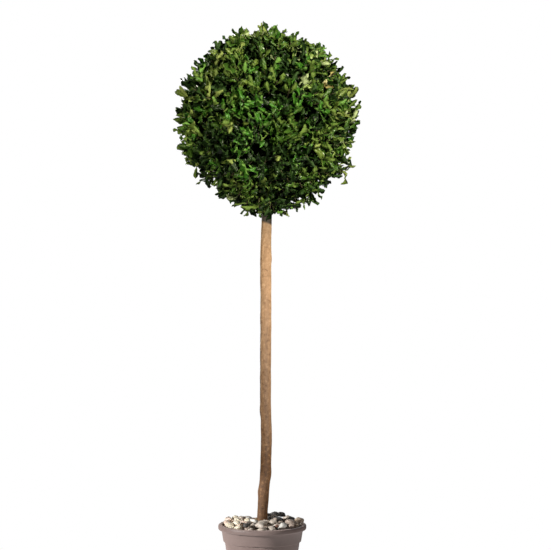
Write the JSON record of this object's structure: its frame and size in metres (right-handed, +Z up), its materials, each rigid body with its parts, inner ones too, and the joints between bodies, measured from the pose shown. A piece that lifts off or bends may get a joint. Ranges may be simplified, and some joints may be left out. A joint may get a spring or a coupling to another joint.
{
  "type": "potted ball topiary",
  "caption": "Standard topiary: a dense clipped ball of small evergreen leaves on a bare wooden stem, in a tapered plastic pot topped with pebbles.",
  "frame": {"origin": "centre of the pot's flat underside, on the surface that it stands on", "axes": "+Z up along the stem, +X to the right and +Y away as seen in the picture"},
  "size_m": [0.431, 0.4214, 1.3124],
  "materials": {
    "pot_plastic": "moulded taupe plastic, satin",
    "potting_mix": "damp crumbly mix of bark, peat and grit",
    "pebbles": "smooth river pebbles of mixed colours",
    "bark": "thin tan bark, dull",
    "foliage": "leathery leaves, semi-gloss"
  },
  "bodies": {
    "root": {"pot": "pot_plastic", "potting_mix": "potting_mix", "pebbles": "pebbles", "stem": "bark", "foliage_ball": "foliage"}
  },
  "joints": []
}
